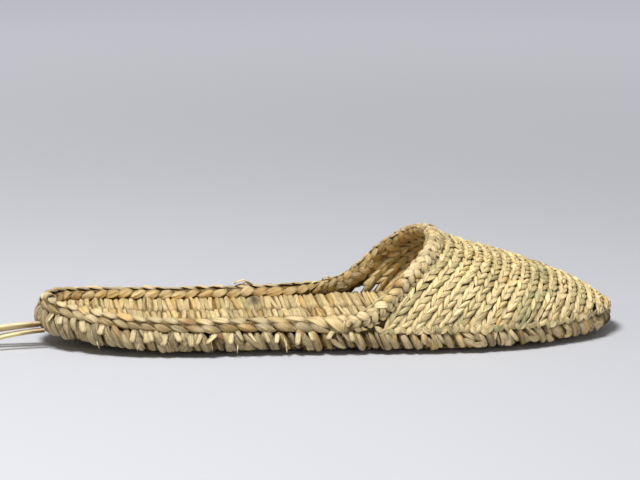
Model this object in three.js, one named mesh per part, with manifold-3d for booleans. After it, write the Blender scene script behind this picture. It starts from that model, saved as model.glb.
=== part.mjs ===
// Rush slipper: a woven pad, a thin insole mat, a twined vamp and one plait round the opening.
// Millimetres, +Z up, toe towards +X. Stations are measured along the foot from the heel tip.

import * as THREE from 'three';
import { mergeVertices } from 'three/addons/utils/BufferGeometryUtils.js';
import Module from 'manifold-3d';

const wasm = await Module();
wasm.setup();

// Sizes of the foot and the pad

const footLength = 265;
const heelWidth = 74;
const waistWidth = 76;
const ballWidth = 87;
const padThickness = 7.8;
const edgeRise = 2.0;
const heelLift = 5.4;
const heelLiftReach = 70;
const heelLiftEase = 1.6;
const heelThickening = 1.3;
const toeSpring = 1.5;
const toeSpringReach = 38;
const toeSpringEase = 1.8;

// Sizes of the weave at the pad's edge

const wrapPitch = 4.9;
const wrapRelief = 1.1;
const wrapLean = 3.6;

// Sizes of the insole mat

const insoleThickness = 2.2;
const stripPitch = 4.4;
const stripRelief = 0.4;
const insoleToeRoom = 6;
const insoleToeReach = 30;

// Sizes of the vamp

const instepHeight = 48.7;
const throatStation = 177;
const throatFoot = 118;
const firstRowFoot = 150;
const vampSetIn = 1.0;
const wallThickness = 2.6;
const rowPitch = 4.4;
const rowRelief = 0.8;
const innerRowRelief = 0.5;

// Sizes of the plait round the opening

const plaitSetIn = 1.0;
const rimWidth = 8.0;
const rimHeight = 6.4;
const collarWidth = 8.6;
const collarThickness = 5.2;
const collarProud = 0.3;
const plaitStitch = 4.6;

// Clearance between woven pieces that touch

const fitGap = 0.3;

// Fineness of the solids

const aroundVamp = 26;
const outlineSamples = 240;
const archPower = 2.3;
const archExponent = 2 / archPower;
const outlineDivisions = 800;
const rimSteps = 96;
const throatSteps = 20;
const throatNudge = 0.01;
const slopeStep = 0.5;
const tipStep = 0.1;
const weldDistance = 1e-4;

// Plan outline: a row for each section, half the width as a share of the width named beside it

const planTable = [
  { along: 0.02, width: heelWidth, half: 0.2 },
  { along: 0.06, width: heelWidth, half: 0.31 },
  { along: 0.13, width: heelWidth, half: 0.43 },
  { along: 0.25, width: heelWidth, half: 0.5 },
  { along: 0.4, width: waistWidth, half: 0.5 },
  { along: 0.55, width: ballWidth, half: 0.47 },
  { along: 0.7, width: ballWidth, half: 0.5 },
  { along: 0.8, width: ballWidth, half: 0.465 },
  { along: 0.88, width: ballWidth, half: 0.38 },
  { along: 0.94, width: ballWidth, half: 0.285 },
  { along: 0.98, width: ballWidth, half: 0.165 },
];

// Top line of the vamp over the foot's middle: height above the pad as a share of the instep's

const ridgeTable = [
  { along: 0.48, height: 1.24 },
  { along: 0.57, height: 1.2 },
  { along: 0.63, height: 1.1 },
  { along: 0.668, height: 1.0 },
  { along: 0.7, height: 0.9 },
  { along: 0.75, height: 0.775 },
  { along: 0.8, height: 0.675 },
  { along: 0.85, height: 0.562 },
  { along: 0.9, height: 0.425 },
  { along: 0.94, height: 0.292 },
  { along: 0.97, height: 0.15 },
  { along: 0.986, height: 0.065 },
];

// How far the throat has moved towards the instep at each share of its climb

const throatTable = [
  { climb: 0, forward: 0 },
  { climb: 0.06, forward: 0.2 },
  { climb: 0.095, forward: 0.4 },
  { climb: 0.155, forward: 0.53 },
  { climb: 0.26, forward: 0.65 },
  { climb: 0.48, forward: 0.84 },
  { climb: 0.63, forward: 0.92 },
  { climb: 0.8, forward: 0.98 },
  { climb: 1, forward: 1 },
];

// Section of the plait: two rows side by side, as shares of half its width and half its thickness

const plaitSection = [
  { across: 1, up: 0, row: 'outer' },
  { across: 0.82, up: 0.72, row: 'outer' },
  { across: 0.45, up: 1, row: 'outer' },
  { across: 0, up: 0.7, row: 'groove' },
  { across: -0.45, up: 1, row: 'inner' },
  { across: -0.82, up: 0.72, row: 'inner' },
  { across: -1, up: 0, row: 'inner' },
  { across: -0.7, up: -0.85, row: 'groove' },
  { across: 0, up: -1, row: 'groove' },
  { across: 0.7, up: -0.85, row: 'groove' },
];
const plaitSlack = 0.86;

// Small helpers

const { lerp, smoothstep, clamp } = THREE.MathUtils;

function vector(x, y, z) {
  return new THREE.Vector3(x, y, z);
}

// Reads a value off a line of samples that are sorted by station

function readLine(samples, station) {
  let next = samples.findIndex((sample) => sample.at >= station);
  if (next < 0) next = samples.length - 1;
  const before = samples[Math.max(0, next - 1)];
  const after = samples[next];
  const span = after.at - before.at;
  return span > 0 ? lerp(before.value, after.value, clamp((station - before.at) / span, 0, 1)) : after.value;
}

// Makes a mesh one closed body: joins its seams, drops collapsed faces, turns its faces outwards

function closeBody(geometry) {
  const merged = mergeVertices(geometry, weldDistance);
  const place = merged.getAttribute('position');
  const corner = (index) => new THREE.Vector3().fromBufferAttribute(place, index);
  const kept = [];
  let volume = 0;
  for (let face = 0; face < merged.index.count; face += 3) {
    const [a, b, c] = [0, 1, 2].map((step) => merged.index.getX(face + step));
    if (a === b || b === c || c === a) continue;
    volume += corner(a).dot(corner(b).cross(corner(c)));
    kept.push([a, b, c]);
  }
  const turned = volume < 0 ? kept.map(([a, b, c]) => [a, c, b]) : kept;
  merged.setIndex(turned.flat());
  return merged;
}

// Lofts rings of equally many points. An open loft is closed by a strip from side to side at each end.

function loft(rings, joined = false) {
  const count = rings[0].length;
  const positions = rings.flat().flatMap((point) => point.toArray());
  const faces = [];
  const last = joined ? rings.length : rings.length - 1;
  for (let ring = 0; ring < last; ring += 1) {
    const here = ring * count;
    const there = ((ring + 1) % rings.length) * count;
    for (let side = 0; side < count; side += 1) {
      const next = (side + 1) % count;
      faces.push(here + side, here + next, there + next);
      faces.push(here + side, there + next, there + side);
    }
  }
  if (!joined) {
    const end = (rings.length - 1) * count;
    for (let side = 0; side < count / 2 - 1; side += 1) {
      const across = count - 1 - side;
      faces.push(side, across, across - 1);
      faces.push(side, across - 1, side + 1);
      faces.push(end + side, end + across - 1, end + across);
      faces.push(end + side, end + side + 1, end + across - 1);
    }
  }
  const geometry = new THREE.BufferGeometry();
  geometry.setAttribute('position', new THREE.Float32BufferAttribute(positions, 3));
  geometry.setIndex(faces);
  return closeBody(geometry);
}

// Solids for cutting, and back

function toSolid(geometry) {
  const plain = geometry.clone();
  plain.deleteAttribute('normal');
  plain.deleteAttribute('uv');
  const body = closeBody(plain);
  return new wasm.Manifold(new wasm.Mesh({
    numProp: 3,
    vertProperties: new Float32Array(body.getAttribute('position').array),
    triVerts: new Uint32Array(body.index.array),
  }));
}

function fromSolid(solid) {
  const mesh = solid.getMesh();
  const geometry = new THREE.BufferGeometry();
  geometry.setAttribute('position', new THREE.BufferAttribute(new Float32Array(mesh.vertProperties), 3));
  geometry.setIndex(Array.from(mesh.triVerts));
  return geometry;
}

// A cut along a curved edge can leave crumbs beside the wall: the wall is the largest part

function withoutCrumbs(solid) {
  return solid.decompose().reduce((largest, part) => (part.volume() > largest.volume() ? part : largest));
}

// Height of the pad's underside over the floor, of its top, and of what stands on it

function heelShare(station) {
  return clamp(1 - station / heelLiftReach, 0, 1) ** heelLiftEase;
}

function lift(station) {
  const toe = clamp(1 - (footLength - station) / toeSpringReach, 0, 1);
  return heelLift * heelShare(station) + toeSpring * toe ** toeSpringEase;
}

function padTop(station) {
  return edgeRise + padThickness + heelThickening * heelShare(station) + lift(station);
}

function seat(station) {
  return padTop(station) + fitGap;
}

function padNormal(station) {
  const fall = seat(station - slopeStep) - seat(station + slopeStep);
  return vector(fall / (2 * slopeStep), 0, 1).normalize();
}

// Plan outline, from the heel tip along the near side to the toe tip and back

const nearSide = planTable.map((row) => vector(row.along * footLength, -row.half * row.width, 0));
const farSide = nearSide.map((point) => vector(point.x, -point.y, 0)).reverse();
const outline = new THREE.CatmullRomCurve3(
  [vector(0, 0, 0), ...nearSide, vector(footLength, 0, 0), ...farSide],
  true,
  'centripetal',
);
outline.arcLengthDivisions = outlineDivisions;
const outlineLength = outline.getLength();

function edgePoint(turn, inset) {
  const share = ((turn % 1) + 1) % 1;
  const point = outline.getPointAt(share);
  const tangent = outline.getTangentAt(share);
  return vector(point.x - tangent.y * inset, point.y + tangent.x * inset, 0);
}

const widthLines = new Map();

function halfWidth(station, inset) {
  if (!widthLines.has(inset)) {
    const samples = [];
    for (let step = 0; step <= outlineSamples; step += 1) {
      const point = edgePoint(step / outlineSamples / 2, inset);
      samples.push({ at: point.x, value: Math.max(0, -point.y) });
    }
    widthLines.set(inset, samples);
  }
  return readLine(widthLines.get(inset), station);
}

// Top line of the vamp, which ends on the pad at the toe

const vampToe = footLength - vampSetIn;
const instepRise = instepHeight - seat(throatStation);
const ridgePoints = ridgeTable.map((row) => {
  const station = row.along * footLength;
  return vector(station, 0, seat(station) + row.height * instepRise);
});
const ridge = new THREE.CatmullRomCurve3(
  [...ridgePoints, vector(vampToe, 0, seat(vampToe))],
  false,
  'centripetal',
);
const ridgeLines = new Map();

function ridgeHeight(station, depth) {
  if (!ridgeLines.has(depth)) {
    const samples = [];
    for (let step = 0; step <= outlineSamples; step += 1) {
      const point = ridge.getPointAt(step / outlineSamples);
      const tangent = ridge.getTangentAt(step / outlineSamples);
      samples.push({ at: point.x + tangent.z * depth, value: point.z - tangent.x * depth });
    }
    ridgeLines.set(depth, samples);
  }
  return readLine(ridgeLines.get(depth), station);
}

// Station at which the vamp's skin at this depth comes down to the pad

function vampTip(depth) {
  let station = vampToe - depth;
  while (ridgeHeight(station, depth) < seat(station)) station -= tipStep;
  return station;
}

// A point of the vamp. Row 0 is the throat's edge, the plait lies between rows 0 and 1, and the last row
// closes on the toe tip. Around runs from 0 at the near edge over the foot to 1 at the far edge.

const firstRowCrest = throatStation + collarWidth + fitGap;
const rowCount = 1 + Math.round((vampToe - firstRowCrest) / rowPitch);
const plaitMiddleRow = 0.45;
const throatPoints = throatTable.map((row) => new THREE.Vector2(row.climb, row.forward));
const throatForward = new THREE.SplineCurve(throatPoints)
  .getPoints(outlineSamples)
  .map((point) => ({ at: point.x, value: point.y }));

function vampPoint(row, around, depth) {
  const climb = 1 - Math.abs(2 * around - 1);
  const angle = climb * Math.PI / 2;
  const tip = vampTip(depth);
  const past = (row - 1) / (rowCount - 1);
  const foot = row < 1 ? lerp(throatFoot, firstRowFoot, row) : lerp(firstRowFoot, tip, past);
  const crest = row < 1 ? lerp(throatStation, firstRowCrest, row) : lerp(firstRowCrest, tip, past);
  const rise = Math.sin(angle) ** archExponent;
  const forward = lerp(readLine(throatForward, climb), rise, smoothstep(row, plaitMiddleRow, 1));
  const station = lerp(foot, crest, forward);
  if (row >= rowCount) return vector(tip, 0, seat(tip));
  const reach = halfWidth(station, vampSetIn + depth) * Math.max(0, Math.cos(angle)) ** archExponent;
  const top = Math.max(ridgeHeight(station, depth), seat(station));
  return vector(station, around < 0.5 ? -reach : reach, lerp(seat(station), top, rise));
}

// Direction out of the vamp at a point close to its skin

function vampFullness(point) {
  const wide = Math.abs(point.y) / halfWidth(point.x, vampSetIn);
  const high = Math.max(0, point.z - seat(point.x)) / (ridgeHeight(point.x, 0) - seat(point.x));
  return wide ** archPower + high ** archPower;
}

function vampNormal(point) {
  const slope = ['x', 'y', 'z'].map((axis) => {
    const ahead = point.clone();
    const behind = point.clone();
    ahead[axis] += slopeStep;
    behind[axis] -= slopeStep;
    return vampFullness(ahead) - vampFullness(behind);
  });
  return vector(...slope).normalize();
}

// Sole: a thick pad that rests on its middle, with leaning wraps round an edge that clears the floor.
// Rise is a share of the edge's clearance, height a share of the edge's own thickness.

const soleSides = [
  { inset: 10, rise: 0, height: 0, relief: 0 },
  { inset: 4.5, rise: 0.9, height: 0, relief: 0 },
  { inset: 1.0, rise: 1, height: 0.14, relief: 1 },
  { inset: 0, rise: 1, height: 0.5, relief: 1 },
  { inset: 0.6, rise: 1, height: 0.84, relief: 1 },
  { inset: 2.4, rise: 1, height: 1, relief: 0 },
];

function makeSole() {
  const columns = 2 * Math.round(outlineLength / wrapPitch);
  const rings = soleSides.map((side) => {
    const slant = wrapLean * (0.5 - side.height) / outlineLength;
    return Array.from({ length: columns }, (_, column) => {
      const dip = column % 2 === 0 ? 0 : wrapRelief * side.relief;
      const point = edgePoint((column + 0.5) / columns + slant, side.inset + dip);
      const foot = lift(point.x) + edgeRise;
      point.z = lerp(foot, padTop(point.x), side.height) - edgeRise * (1 - side.rise);
      return point;
    });
  });
  return loft(rings);
}

// Insole: a flat mat of crosswise strips inside the plait and the vamp

const plaitRoom = plaitSetIn + rimWidth + fitGap;
const vampRoom = vampSetIn + wallThickness + innerRowRelief + fitGap;

function insoleInset(station) {
  const forepart = smoothstep(station, firstRowFoot, throatStation);
  const toe = smoothstep(station, footLength - insoleToeReach, footLength);
  return lerp(plaitRoom, vampRoom, forepart) + insoleToeRoom * toe;
}

function makeInsole() {
  const columns = 2 * Math.round(outlineLength / stripPitch);
  const layers = [{ height: 0, relief: 0 }, { height: insoleThickness, relief: stripRelief }];
  const rings = layers.map((layer) => Array.from({ length: columns }, (_, column) => {
    const turn = (column + 0.5) / columns;
    const fromTip = Math.min(column, columns - 1 - column);
    const point = edgePoint(turn, insoleInset(edgePoint(turn, 0).x));
    point.z = seat(point.x) + layer.height - (fromTip % 2) * layer.relief;
    return point;
  }));
  return loft(rings);
}

// Plait: a closed line along the pad's edge round the heel, then over the throat

const rimInset = plaitSetIn + rimWidth / 2;
const collarDepth = wallThickness / 2 - collarProud;

function plaitLine() {
  const rim = [];
  for (let step = 0; step < rimSteps / 2; step += 1) {
    const point = edgePoint(step / rimSteps, rimInset);
    point.addScaledVector(padNormal(point.x), rimHeight / 2);
    point.z += seat(point.x);
    if (point.x < throatFoot) rim.push(point);
  }
  const throat = [];
  for (let step = 1; step < throatSteps; step += 1) {
    const around = step / throatSteps;
    const nearby = [around - throatNudge, around, around + throatNudge];
    const edge = nearby.map((place) => vampPoint(0, place, collarDepth));
    const along = edge[2].clone().sub(edge[0]);
    const across = along.cross(vampNormal(edge[1])).normalize();
    throat.push(edge[1].addScaledVector(across, collarWidth / 2));
  }
  const farRim = rim.slice(1).map((point) => vector(point.x, -point.y, point.z)).reverse();
  return new THREE.CatmullRomCurve3([...rim, ...throat, ...farRim], true, 'centripetal');
}

const plaitCurve = plaitLine();

function makePlait(swell, stitched) {
  const steps = 2 * Math.round(plaitCurve.getLength() / plaitStitch / 2);
  const rings = [];
  for (let step = 0; step < steps; step += 1) {
    const centre = plaitCurve.getPointAt(step / steps);
    const along = plaitCurve.getTangentAt(step / steps);
    const climbed = smoothstep(centre.x, throatFoot, firstRowFoot);
    const up = padNormal(centre.x).lerp(vampNormal(centre), climbed);
    const across = new THREE.Vector3().crossVectors(along, up).normalize();
    up.crossVectors(across, along).normalize();
    const halfAcross = lerp(rimWidth, collarWidth, climbed) / 2;
    const halfUp = lerp(rimHeight, collarThickness, climbed) / 2;
    const thin = step % 2 === 0 ? 'inner' : 'outer';
    rings.push(plaitSection.map((corner) => {
      const pull = stitched && corner.row === thin ? plaitSlack : 1;
      return centre.clone()
        .addScaledVector(across, corner.across * (halfAcross * pull + swell))
        .addScaledVector(up, corner.up * (halfUp * pull + swell));
    }));
  }
  return loft(rings, true);
}

// Gaps in the far wall, where the throat's rows leave the pad

const farGaps = [
  { station: 151.5, wide: 7.5, tall: 3.8 },
  { station: 159.5, wide: 3.4, tall: 2.4 },
];

function makeGap(gap) {
  const under = padThickness / 2;
  const reach = 3 * wallThickness;
  const foot = seat(gap.station);
  const outlineShape = new THREE.Shape();
  outlineShape.moveTo(gap.station - gap.wide / 2, foot - under);
  outlineShape.lineTo(gap.station + gap.wide / 2, foot - under);
  outlineShape.lineTo(gap.station + gap.wide / 2, foot);
  outlineShape.lineTo(gap.station, foot + gap.tall);
  outlineShape.lineTo(gap.station - gap.wide / 2, foot);
  outlineShape.closePath();
  const cutter = new THREE.ExtrudeGeometry(outlineShape, { depth: 2 * reach, bevelEnabled: false, steps: 1 });
  cutter.rotateX(Math.PI / 2);
  cutter.translate(0, halfWidth(gap.station, vampSetIn) + reach, 0);
  return cutter;
}

// Upper: one hollow wall whose twined rows stand proud, cut back for the plait and the gaps

function vampRows() {
  const rows = [plaitMiddleRow, 1];
  for (let row = 1; row < rowCount; row += 1) rows.push(row + 0.5, row + 1);
  return rows;
}

function makeUpper() {
  const rings = vampRows().map((row) => {
    const proud = row % 1 === 0 ? 0 : 1;
    const skin = (depth) => Array.from(
      { length: aroundVamp + 1 },
      (_, step) => vampPoint(row, step / aroundVamp, depth),
    );
    const outside = skin(-rowRelief * proud);
    const inside = skin(wallThickness + innerRowRelief * proud);
    return [...outside, ...inside.reverse()];
  });
  const plaitSpace = toSolid(makePlait(fitGap, false));
  const gaps = farGaps.map((gap) => toSolid(makeGap(gap)));
  const wall = gaps.reduce((rest, gap) => rest.subtract(gap), toSolid(loft(rings)).subtract(plaitSpace));
  return fromSolid(withoutCrumbs(wall));
}

// Loose rush stems behind the heel, each with its own route in millimetres from the part's origin

const stems = [
  {
    name: 'tie_stem_1',
    width: 2.8,
    route: [
      [-130.7, -8.6, 10.62], [-135, -8.8, 10.44], [-139, -9, 10.25], [-143, -9.2, 10.06], [-147, -9.4, 9.68],
      [-151, -9.7, 9.1], [-155, -10, 8.42], [-159, -10.4, 7.45], [-163, -10.8, 6.29], [-167, -11.2, 5.24],
      [-171, -11.7, 4.13], [-175, -12.2, 3.2], [-179, -12.8, 2.4], [-183, -13.4, 1.8], [-187, -14, 1.5],
      [-191, -14.6, 1.45],
    ],
  },
  {
    name: 'tie_stem_2',
    width: 2.4,
    route: [
      [-131.4, -4.8, 9.22], [-136, -4.9, 8.97], [-140, -5, 8.62], [-144, -5, 8.17], [-148, -5, 7.62],
      [-152, -4.9, 6.87], [-156, -4.7, 5.92], [-160, -4.4, 4.88], [-164, -4.1, 3.94], [-168, -3.7, 2.91],
      [-172, -3.3, 2.1], [-176, -2.8, 1.5], [-180, -2.3, 1.3], [-184, -1.8, 1.25], [-188, -1.2, 1.25],
    ],
  },
  {
    name: 'tie_stem_3',
    width: 2.2,
    route: [
      [-128.9, -12.4, 8.4], [-134, -12.6, 8.08], [-138, -12.9, 7.66], [-142, -13.3, 7.14], [-146, -13.8, 6.52],
      [-150, -14.4, 5.7], [-154, -15.1, 4.89], [-158, -15.9, 3.98], [-162, -16.8, 3.18], [-166, -17.7, 2.39],
      [-170, -18.6, 1.75], [-174, -19.6, 1.32], [-178, -20.6, 1.15], [-182, -21.6, 1.15], [-186, -22.6, 1.15],
    ],
  },
  {
    name: 'tie_stem_4',
    width: 2.0,
    route: [
      [-129.9, -8.6, 7.9], [-134, -8.7, 7.64], [-137, -8.8, 7.27], [-140, -8.8, 7], [-143, -8.8, 6.53],
      [-146, -8.8, 6.06], [-149, -8.8, 5.39], [-152, -8.8, 4.72], [-155, -8.8, 4.06], [-158, -8.7, 3.29],
      [-161, -8.6, 2.63], [-164, -8.5, 2.07], [-167, -8.4, 1.56], [-170, -8.3, 1.2], [-173, -8.2, 1.1],
      [-176, -8.1, 1.05],
    ],
  },
];

function makeStem(stem) {
  const route = new THREE.CatmullRomCurve3(stem.route.map((point) => vector(...point)), false, 'centripetal');
  const section = new THREE.Shape();
  const sides = 8;
  for (let side = 0; side < sides; side += 1) {
    const angle = 2 * Math.PI * side / sides;
    const [x, y] = [Math.cos(angle), Math.sin(angle)].map((share) => share * stem.width / 2);
    if (side === 0) section.moveTo(x, y);
    else section.lineTo(x, y);
  }
  section.closePath();
  const steps = Math.round(route.getLength() / (2.5 * stem.width));
  return new THREE.ExtrudeGeometry(section, { steps, bevelEnabled: false, extrudePath: route });
}

// Materials

const palette = {
  pad: new THREE.MeshStandardMaterial({ color: 0xa8916a, roughness: 0.75, metalness: 0 }),
  mat: new THREE.MeshStandardMaterial({ color: 0xc9b585, roughness: 0.65, metalness: 0 }),
  vamp: new THREE.MeshStandardMaterial({ color: 0xd2bf8c, roughness: 0.6, metalness: 0 }),
  plait: new THREE.MeshStandardMaterial({ color: 0xc2ab78, roughness: 0.6, metalness: 0 }),
  stem: new THREE.MeshStandardMaterial({ color: 0xdccb93, roughness: 0.55, metalness: 0 }),
};

function named(name, geometry, material) {
  const mesh = new THREE.Mesh(geometry, material.clone());
  mesh.name = name;
  return mesh;
}

// The slipper, moved from its stations to an origin under its middle

const woven = new THREE.Group();
woven.position.x = -footLength / 2;
woven.add(named('sole', makeSole(), palette.pad));
woven.add(named('insole', makeInsole(), palette.mat));
woven.add(named('upper', makeUpper(), palette.vamp));
woven.add(named('edge_plait', makePlait(0, true), palette.plait));

const slipper = new THREE.Group();
slipper.add(woven);
stems.forEach((stem) => slipper.add(named(stem.name, makeStem(stem), palette.stem)));

export default slipper;
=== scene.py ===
import math
from functools import cache, partial
from math import radians

import bmesh
import bpy
import numpy as np
from mathutils import Matrix, Vector


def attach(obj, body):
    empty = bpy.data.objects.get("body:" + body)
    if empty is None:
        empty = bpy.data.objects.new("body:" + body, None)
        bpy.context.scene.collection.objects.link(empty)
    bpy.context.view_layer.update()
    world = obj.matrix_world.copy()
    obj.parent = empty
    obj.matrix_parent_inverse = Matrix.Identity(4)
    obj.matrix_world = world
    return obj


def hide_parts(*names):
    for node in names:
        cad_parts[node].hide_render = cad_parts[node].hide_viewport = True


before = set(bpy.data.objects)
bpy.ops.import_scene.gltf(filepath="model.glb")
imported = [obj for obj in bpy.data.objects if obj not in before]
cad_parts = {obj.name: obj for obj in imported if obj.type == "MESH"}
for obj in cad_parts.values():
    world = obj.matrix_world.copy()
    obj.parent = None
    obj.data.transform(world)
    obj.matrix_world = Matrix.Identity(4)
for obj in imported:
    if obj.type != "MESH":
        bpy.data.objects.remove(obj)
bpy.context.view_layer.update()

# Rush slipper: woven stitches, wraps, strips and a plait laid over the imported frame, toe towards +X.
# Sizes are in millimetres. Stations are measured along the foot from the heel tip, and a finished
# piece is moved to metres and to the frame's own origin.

MILLIMETRE = 0.001
QUARTER_TURN = math.pi / 2

# Sizes of the foot and the pad

FOOT_LENGTH = 265.0
HEEL_WIDTH = 74.0
WAIST_WIDTH = 76.0
BALL_WIDTH = 87.0
PAD_THICKNESS = 7.8
EDGE_RISE = 2.0
REST_INSET = 10.0
HEEL_LIFT = 5.4
HEEL_LIFT_REACH = 70.0
HEEL_LIFT_POWER = 1.6
HEEL_THICKENING = 1.3
TOE_SPRING = 1.5
TOE_SPRING_REACH = 38.0
TOE_SPRING_POWER = 1.8
FIT_GAP = 0.3

# Sizes of the vamp

INSTEP_HEIGHT = 48.7
THROAT_STATION = 177.0
THROAT_FOOT = 118.0
FIRST_ROW_FOOT = 150.0
VAMP_SET_IN = 1.0
WALL_THICKNESS = 2.6
ROW_PITCH = 4.4
ARCH_POWER = 2.3
ARCH_EXPONENT = 2 / ARCH_POWER
LEAST_ARCH = 0.2
PLAIT_MIDDLE_ROW = 0.45

# Sizes of the plait round the opening

PLAIT_SET_IN = 1.0
RIM_WIDTH = 8.0
RIM_HEIGHT = 6.4
COLLAR_WIDTH = 8.6
COLLAR_THICKNESS = 5.2
RIM_POINTS = 48
COLLAR_POINTS = 20

# Plan outline, top line of the vamp and line of the throat, as shares of the sizes above

PLAN = (
    (HEEL_WIDTH, ((0.02, 0.2), (0.06, 0.31), (0.13, 0.43), (0.25, 0.5))),
    (WAIST_WIDTH, ((0.4, 0.5),)),
    (BALL_WIDTH, ((0.55, 0.47), (0.7, 0.5), (0.8, 0.465), (0.88, 0.38), (0.94, 0.285), (0.98, 0.165))),
)
RIDGE = (
    (0.48, 1.24), (0.57, 1.2), (0.63, 1.1), (0.668, 1.0), (0.7, 0.9), (0.75, 0.775), (0.8, 0.675),
    (0.85, 0.562), (0.9, 0.425), (0.94, 0.292), (0.97, 0.15), (0.986, 0.065),
)
THROAT = (
    (0, 0), (0.06, 0.2), (0.095, 0.4), (0.155, 0.53), (0.26, 0.65), (0.48, 0.84), (0.63, 0.92),
    (0.8, 0.98), (1, 1),
)

# The photograph's frame and camera

PHOTO_WIDTH = 640
PHOTO_HEIGHT = 480
FOCAL_PIXELS = 2723.4
CAMERA_AZIMUTH = radians(-6.356)
CAMERA_ELEVATION = radians(11.93)
CAMERA_DISTANCE = 1.24065
CAMERA_AIM = Vector((-0.003203, 0, 0.044376))
CAMERA_BACK = Vector((
    math.sin(CAMERA_AZIMUTH) * math.cos(CAMERA_ELEVATION),
    -math.cos(CAMERA_AZIMUTH) * math.cos(CAMERA_ELEVATION),
    math.sin(CAMERA_ELEVATION),
))
CAMERA_PLACE = CAMERA_AIM + CAMERA_BACK * CAMERA_DISTANCE


# Small helpers

def mix(start, end, share):
    return start + (end - start) * share


def smoothstep(value, low, high):
    share = np.clip((value - low) / (high - low), 0, 1)
    return share * share * (3 - 2 * share)


def unit(vectors):
    return vectors / np.maximum(np.linalg.norm(vectors, axis=-1, keepdims=True), 1e-9)


def column(values):
    values = np.asarray(values, float)
    return values if values.ndim > 1 else values[:, None]


def painted_cavity_shade(out, low, high, dark):
    """Painted shade: how much of its light a point keeps, from dark down between the leaves to all on their
    crests.
    """
    return dark + (1 - dark) * smoothstep(out, low, high)


def rotated(along, aside, angle):
    """Two lengths at right angles, turned by an angle from the first towards the second."""
    sine, cosine = np.sin(angle), np.cos(angle)
    return along * cosine - aside * sine, along * sine + aside * cosine


class Path:
    """A smooth line through a few points, read at shares of its length."""

    def __init__(self, points, closed=False, fineness=24):
        points = np.array(points, float)
        before, after = 2 * points[:1] - points[1:2], 2 * points[-1:] - points[-2:-1]
        if closed:
            before, after = points[-1:], points[:2]
        knots = np.concatenate([before, points, after])
        shares = np.linspace(0, 1, fineness, endpoint=False)[:, None]
        stretches = []
        for first in range(len(knots) - 3):
            a, b, c, d = knots[first:first + 4]
            left, middle, right = (np.linalg.norm(gap) ** 0.5 for gap in (b - a, c - b, d - c))
            leave = ((b - a) / left - (c - a) / (left + middle) + (c - b) / middle) * middle
            arrive = ((c - b) / middle - (d - b) / (middle + right) + (d - c) / right) * middle
            square = 3 * c - 3 * b - 2 * leave - arrive
            cube = 2 * b - 2 * c + leave + arrive
            stretches.append(b + leave * shares + square * shares**2 + cube * shares**3)
        stretches.append(knots[-2:-1])
        self.points = np.concatenate(stretches)
        steps = np.linalg.norm(np.diff(self.points, axis=0), axis=1)
        self.reach = np.concatenate([[0], np.cumsum(steps)])
        self.length = self.reach[-1]
        self.closed = closed

    def at(self, share):
        share = np.asarray(share, float)
        share = share % 1 if self.closed else np.clip(share, 0, 1)
        return np.stack([np.interp(share * self.length, self.reach, axis) for axis in self.points.T], -1)

    def along(self, share):
        step = 0.3 / self.length
        return unit(self.at(np.asarray(share) + step) - self.at(np.asarray(share) - step))


# Heights of the pad's underside and top, and of what stands on it

def heel_share(station):
    return np.clip(1 - station / HEEL_LIFT_REACH, 0, 1) ** HEEL_LIFT_POWER


def lift(station):
    toe = np.clip(1 - (FOOT_LENGTH - station) / TOE_SPRING_REACH, 0, 1)
    return HEEL_LIFT * heel_share(station) + TOE_SPRING * toe**TOE_SPRING_POWER


def pad_height(station):
    return PAD_THICKNESS + HEEL_THICKENING * heel_share(station)


def seat(station):
    return EDGE_RISE + pad_height(station) + lift(station) + FIT_GAP


def pad_normal(station):
    step = 0.5
    slope = (seat(station - step) - seat(station + step)) / (2 * step)
    return unit(np.stack([slope, np.zeros_like(slope), np.ones_like(slope)], -1))


# Plan outline: a turn runs from the heel tip along the near side to the toe tip at a half, and back

near_side = [(along * FOOT_LENGTH, -half * width, 0) for width, plan in PLAN for along, half in plan]
far_side = [(x, -y, 0) for x, y, _ in reversed(near_side)]
outline = Path([(0, 0, 0), *near_side, (FOOT_LENGTH, 0, 0), *far_side], closed=True)
NEAR_TURNS = np.linspace(0, 0.5, 400)


def edge_point(turn, inset):
    point = outline.at(turn)
    along = outline.along(turn)
    inwards = np.stack([-along[..., 1], along[..., 0], np.zeros_like(along[..., 0])], -1)
    return point + inwards * np.asarray(inset)[..., None]


@cache
def width_line(inset):
    side = edge_point(NEAR_TURNS, inset)
    return np.maximum.accumulate(side[:, 0]), np.maximum(0, -side[:, 1])


def half_width(station, inset):
    return np.interp(station, *width_line(inset))


# The vamp's skin: rows run from the throat to the toe, around runs from the near edge to the far edge

vamp_toe = FOOT_LENGTH - VAMP_SET_IN
instep_rise = INSTEP_HEIGHT - seat(THROAT_STATION)
ridge = Path([
    *((along * FOOT_LENGTH, seat(along * FOOT_LENGTH) + height * instep_rise) for along, height in RIDGE),
    (vamp_toe, seat(vamp_toe)),
])
throat = Path(THROAT)
first_row_crest = THROAT_STATION + COLLAR_WIDTH + FIT_GAP
row_count = 1 + round((vamp_toe - first_row_crest) / ROW_PITCH)


@cache
def ridge_line(depth):
    shares = NEAR_TURNS * 2
    points = ridge.at(shares)
    along = ridge.along(shares)
    stations = np.maximum.accumulate(points[:, 0] + along[:, 1] * depth)
    return stations, points[:, 1] - along[:, 0] * depth


def ridge_height(station, depth):
    return np.interp(station, *ridge_line(depth))


@cache
def vamp_tip(depth):
    stations = np.linspace(FOOT_LENGTH / 2, vamp_toe - depth, 1500)
    clear = ridge_height(stations, depth) >= seat(stations)
    return stations[clear][-1]


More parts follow.
